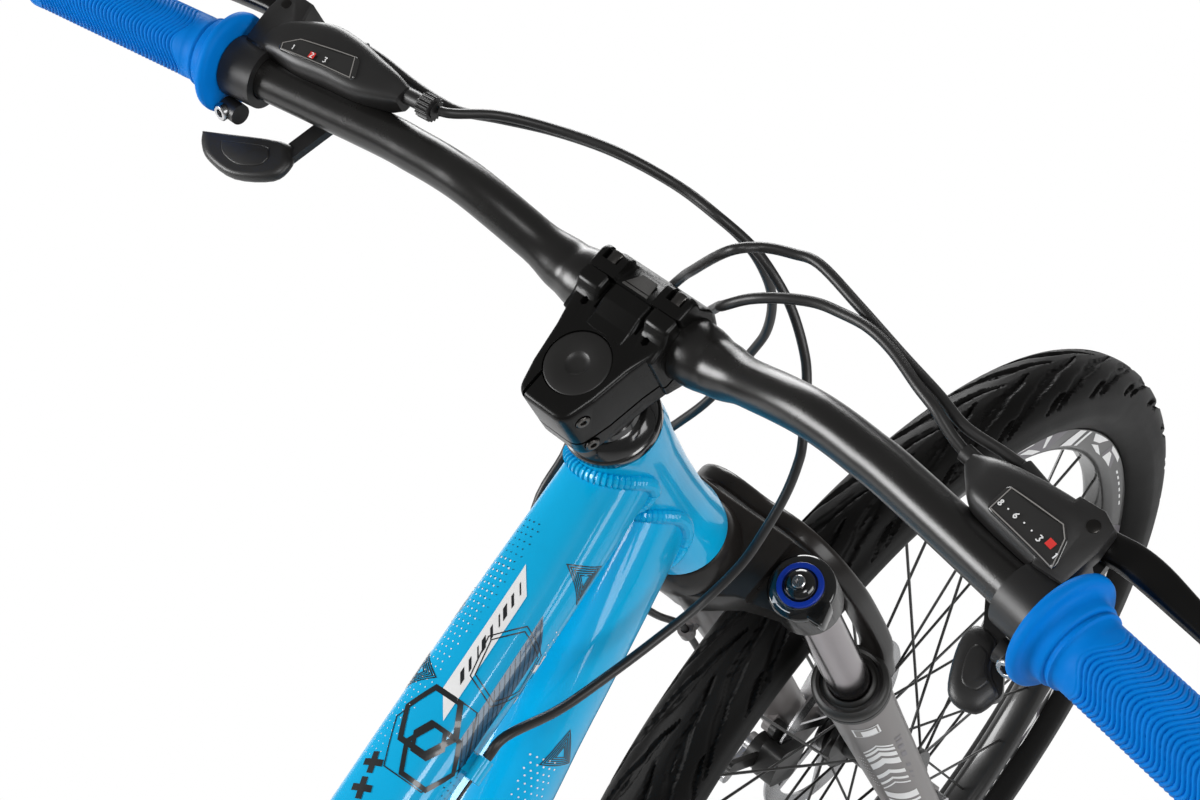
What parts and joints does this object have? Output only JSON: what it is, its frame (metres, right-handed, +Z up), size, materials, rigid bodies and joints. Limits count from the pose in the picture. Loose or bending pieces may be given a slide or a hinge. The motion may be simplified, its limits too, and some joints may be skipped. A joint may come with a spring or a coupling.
{
  "type": "freeride mountain bike",
  "caption": "Hardtail mountain bike with a telescopic fork, disc brakes, riser bar and grip-side thumb shifters.",
  "frame": {"origin": "on the ground under the rear axle, in the frame's middle plane", "axes": "+X forward, +Y to the rider's left, +Z up"},
  "size_m": [1.8252, 0.7588, 1.0705],
  "materials": {
    "frame_paint": "gloss paint",
    "black_paint": "satin black paint",
    "grey_paint": "matt grey paint",
    "bare_metal": "polished",
    "chain_steel": "oiled steel",
    "rubber": "matt",
    "grip_blue": "matt ribbed rubber",
    "black_plastic": "fine grain",
    "saddle_cover": "grained cover"
  },
  "bodies": {
    "frame": {"front_triangle": "frame_paint", "rear_triangle": "frame_paint", "headset_upper_bearing": "bare_metal", "headset_lower_bearing": "bare_metal", "bottom_bracket": "black_plastic", "seat_clamp": "black_paint", "front_derailleur": "black_paint", "rear_derailleur": "black_paint", "rear_derailleur_cage": "bare_metal", "chain": "chain_steel", "rear_caliper": "black_paint", "rear_axle": "bare_metal", "rear_brake_cable": "black_plastic", "rear_shift_cable": "black_plastic", "front_shift_cable": "black_plastic"},
    "seat": {"seatpost": "black_paint", "saddle_rails": "bare_metal", "saddle": "saddle_cover"},
    "rear_wheel": {"rear_tyre": "rubber", "rear_rim": "black_paint", "rear_hub_and_spokes": "black_paint", "rear_rotor": "bare_metal"},
    "sprockets": {"cassette": "chain_steel"},
    "rear_brake_arm": {"rear_caliper_arm": "bare_metal"},
    "rear_release": {"rear_axle_lever": "bare_metal"},
    "crankset": {"crank_right": "black_paint", "crank_left": "black_paint", "chainrings": "black_paint"},
    "right_pedal": {"pedal_right": "black_plastic"},
    "left_pedal": {"pedal_left": "black_plastic"},
    "guide_wheel": {"guide_pulley": "black_plastic"},
    "tension_wheel": {"tension_pulley": "black_plastic"},
    "steering": {"fork_crown": "black_paint", "stanchion_left": "bare_metal", "stanchion_right": "bare_metal", "headset_top_cover": "black_paint", "stem": "black_paint", "stem_faceplate": "black_paint", "stem_top_cap": "black_paint", "handlebar": "black_paint", "grip_left": "grip_blue", "grip_right": "grip_blue", "control_left": "black_plastic", "control_right": "black_plastic", "front_brake_cable": "black_plastic"},
    "dial": {"lockout_dial": "black_plastic"},
    "left_brake_lever": {"brake_lever_left": "black_paint"},
    "right_brake_lever": {"brake_lever_right": "black_paint"},
    "left_thumb_lever": {"thumb_lever_left": "black_plastic"},
    "right_thumb_lever": {"thumb_lever_right": "black_plastic"},
    "lower_fork": {"fork_lowers": "grey_paint", "front_caliper": "black_paint", "front_axle": "bare_metal"},
    "front_brake_arm": {"front_caliper_arm": "bare_metal"},
    "front_release": {"front_axle_lever": "bare_metal"},
    "front_wheel": {"front_tyre": "rubber", "front_rim": "black_paint", "front_hub_and_spokes": "black_paint", "front_rotor": "bare_metal"}
  },
  "joints": [
    {"name": "steering_turn", "type": "hinge", "parent": "frame", "child": "steering", "pos_m": [0.83775, 0, 0.99762], "axis": [-0.3584, 0, 0.9336], "range_deg": [-52, 68], "deforming": ["rear_brake_cable", "rear_shift_cable", "front_shift_cable"]},
    {"name": "fork_travel", "type": "slide", "parent": "steering", "child": "lower_fork", "axis": [-0.3584, 0, 0.9336], "range_m": [0, 0.1], "stiffness_N_per_m": 6000, "springref_m": -0.012, "deforming": ["front_brake_cable"]},
    {"name": "saddle_height", "type": "slide", "parent": "frame", "child": "seat", "axis": [-0.2924, 0, 0.9563], "range_m": [-0.15, 0.075]},
    {"name": "front_wheel_spin", "type": "hinge", "parent": "lower_fork", "child": "front_wheel", "pos_m": [1.12467, -0.00509, 0.35131], "axis": [0.1299, 0.9903, 0.0499], "continuous": true},
    {"name": "rear_wheel_spin", "type": "hinge", "parent": "frame", "child": "rear_wheel", "pos_m": [0, 0, 0.351], "axis": [0, 1, 0], "continuous": true},
    {"name": "crank_spin", "type": "hinge", "parent": "frame", "child": "crankset", "pos_m": [0.43655, 0, 0.296], "axis": [0, 1, 0], "continuous": true},
    {"name": "cassette_spin", "type": "hinge", "parent": "frame", "child": "sprockets", "pos_m": [0, 0, 0.351], "axis": [0, 1, 0], "continuous": true},
    {"name": "right_pedal_spin", "type": "hinge", "parent": "crankset", "child": "right_pedal", "pos_m": [0.60655, -0.074, 0.296], "axis": [0, 1, 0], "continuous": true},
    {"name": "left_pedal_spin", "type": "hinge", "parent": "crankset", "child": "left_pedal", "pos_m": [0.26655, 0.074, 0.296], "axis": [0, 1, 0], "continuous": true},
    {"name": "guide_pulley_spin", "type": "hinge", "parent": "frame", "child": "guide_wheel", "pos_m": [0.012, -0.0337, 0.258], "axis": [0, 1, 0], "continuous": true},
    {"name": "tension_pulley_spin", "type": "hinge", "parent": "frame", "child": "tension_wheel", "pos_m": [0.06021, -0.0337, 0.20055], "axis": [0, 1, 0], "continuous": true},
    {"name": "lockout_turn", "type": "hinge", "parent": "steering", "child": "dial", "pos_m": [0.84612, -0.067, 1.00083], "axis": [-0.3584, 0, 0.9336], "range_deg": [0, 90]},
    {"name": "left_brake_pull", "type": "hinge", "parent": "steering", "child": "left_brake_lever", "pos_m": [0.91222, 0.23482, 1.05352], "axis": [-0.3584, 0, 0.9336], "range_deg": [0, 10], "stiffness_Nm_per_rad": 0.6, "springref_deg": -20.05},
    {"name": "right_brake_pull", "type": "hinge", "parent": "steering", "child": "right_brake_lever", "pos_m": [0.84855, -0.25041, 1.02908], "axis": [0.3584, 0, -0.9336], "range_deg": [0, 10], "stiffness_Nm_per_rad": 0.6, "springref_deg": -20.05},
    {"name": "left_shift_push", "type": "hinge", "parent": "steering", "child": "left_thumb_lever", "pos_m": [0.90335, 0.19815, 1.0228], "axis": [0.3584, 0, -0.9336], "range_deg": [0, 20], "stiffness_Nm_per_rad": 0.3, "springref_deg": -20.05},
    {"name": "right_shift_push", "type": "hinge", "parent": "steering", "child": "right_thumb_lever", "pos_m": [0.84981, -0.20984, 1.00225], "axis": [-0.3584, 0, 0.9336], "range_deg": [0, 20], "stiffness_Nm_per_rad": 0.3, "springref_deg": -20.05},
    {"name": "front_brake_arm_pull", "type": "hinge", "parent": "lower_fork", "child": "front_brake_arm", "pos_m": [1.06616, 0.06559, 0.37742], "axis": [0.1299, 0.9903, 0.0499], "range_deg": [0, 10]},
    {"name": "rear_brake_arm_pull", "type": "hinge", "parent": "frame", "child": "rear_brake_arm", "pos_m": [-0.00214, 0.0767, 0.42199], "axis": [0, 1, 0], "range_deg": [0, 10]},
    {"name": "front_release_turn", "type": "hinge", "parent": "lower_fork", "child": "front_release", "pos_m": [1.13361, 0.06304, 0.35474], "axis": [-0.8238, 0.0798, 0.5612], "range_deg": [0, 90]},
    {"name": "rear_release_turn", "type": "hinge", "parent": "frame", "child": "rear_release", "pos_m": [0, 0.0858, 0.351], "axis": [-0.6157, 0, 0.788], "range_deg": [0, 90]}
  ],
  "couplings": [
    {"joint": "cassette_spin", "follows": "crank_spin", "ratio": 1.1429},
    {"joint": "guide_pulley_spin", "follows": "crank_spin", "ratio": -2.9091},
    {"joint": "tension_pulley_spin", "follows": "crank_spin", "ratio": 2.9091},
    {"joint": "front_brake_arm_pull", "follows": "left_brake_pull", "ratio": 0.95},
    {"joint": "rear_brake_arm_pull", "follows": "right_brake_pull", "ratio": 0.95}
  ]
}
